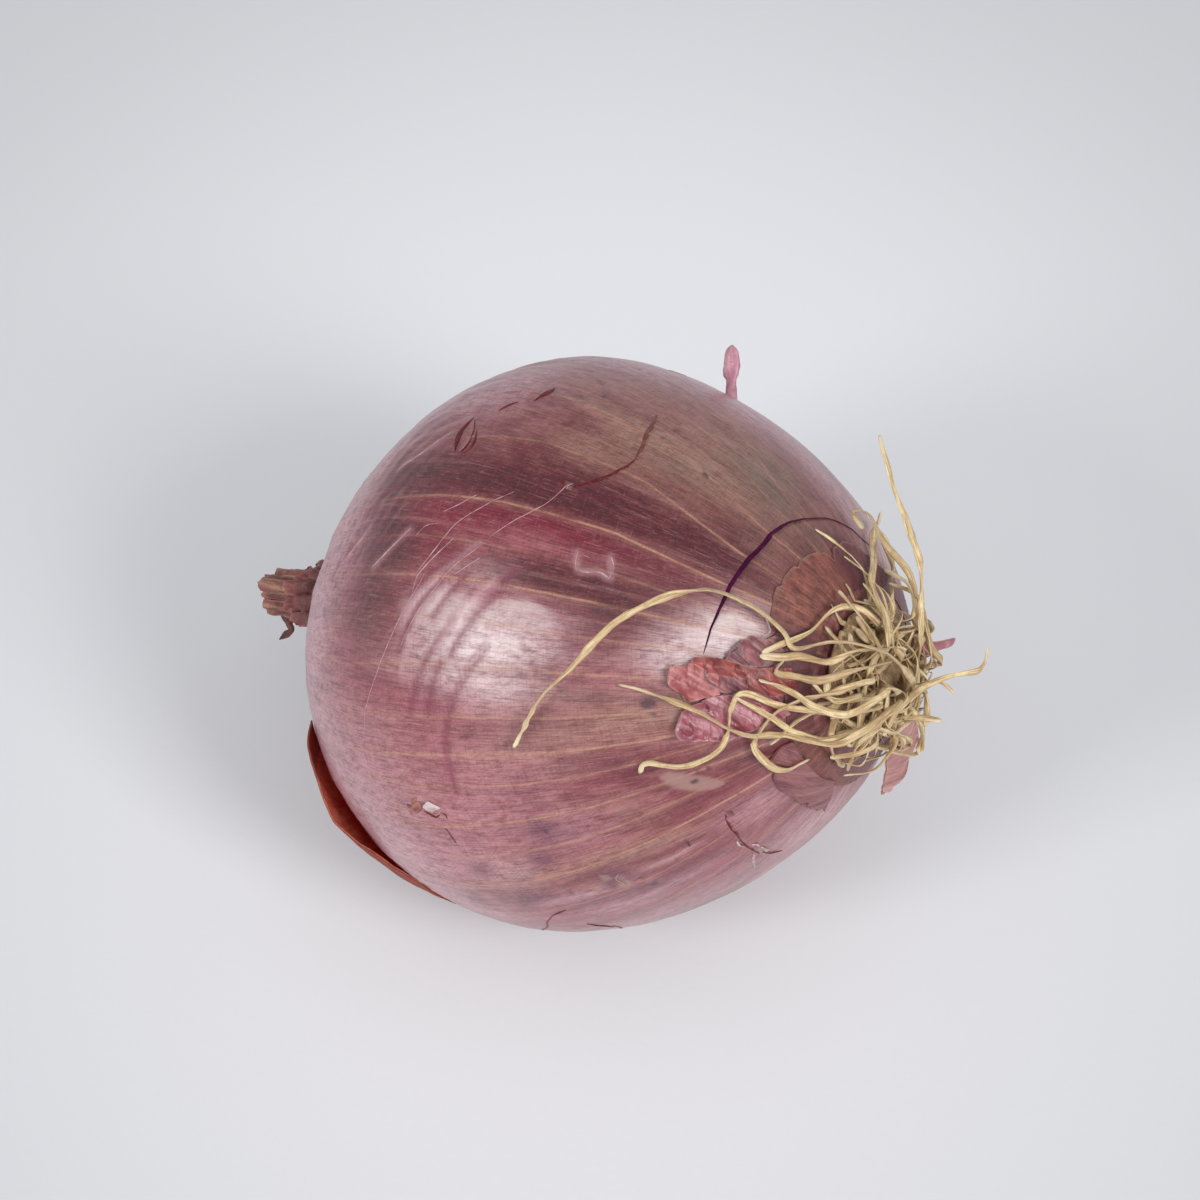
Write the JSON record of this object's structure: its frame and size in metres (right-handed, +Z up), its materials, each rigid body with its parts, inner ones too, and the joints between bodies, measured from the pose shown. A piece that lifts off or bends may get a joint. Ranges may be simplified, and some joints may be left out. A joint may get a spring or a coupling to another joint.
{
  "type": "red onion",
  "caption": "Whole red onion lying on its side: ribbed bulb with torn papery skin, dry neck and a tuft of long straw-coloured roots.",
  "frame": {"origin": "centre of the flat spot that the onion rests on", "axes": "+Z up; +X the way the root end points, seen from above; -X towards the dry neck"},
  "size_m": [0.1103, 0.0782, 0.0856],
  "materials": {
    "onion_skin": "thin papery purple-red skin with a satin sheen and pale veins",
    "dry_neck": "dry brown-red leaf bases, matt and fibrous",
    "root_straw": "dry straw-coloured root fibre, matt",
    "red_skin": "torn red outer skin, glossy on its folds",
    "pink_skin": "torn pinkish-tan outer skin, matt",
    "tan_skin": "torn thin tan-pink skin, matt",
    "mahogany_skin": "dark mahogany outer skin standing off the bulb, satin"
  },
  "bodies": {
    "root": {"bulb": "onion_skin", "neck": "dry_neck", "root_tuft": "root_straw", "red_flake": "red_skin", "pink_scrap": "pink_skin", "low_flake": "tan_skin", "side_flake": "pink_skin", "skin_flap": "mahogany_skin", "skin_curl": "pink_skin"}
  },
  "joints": []
}
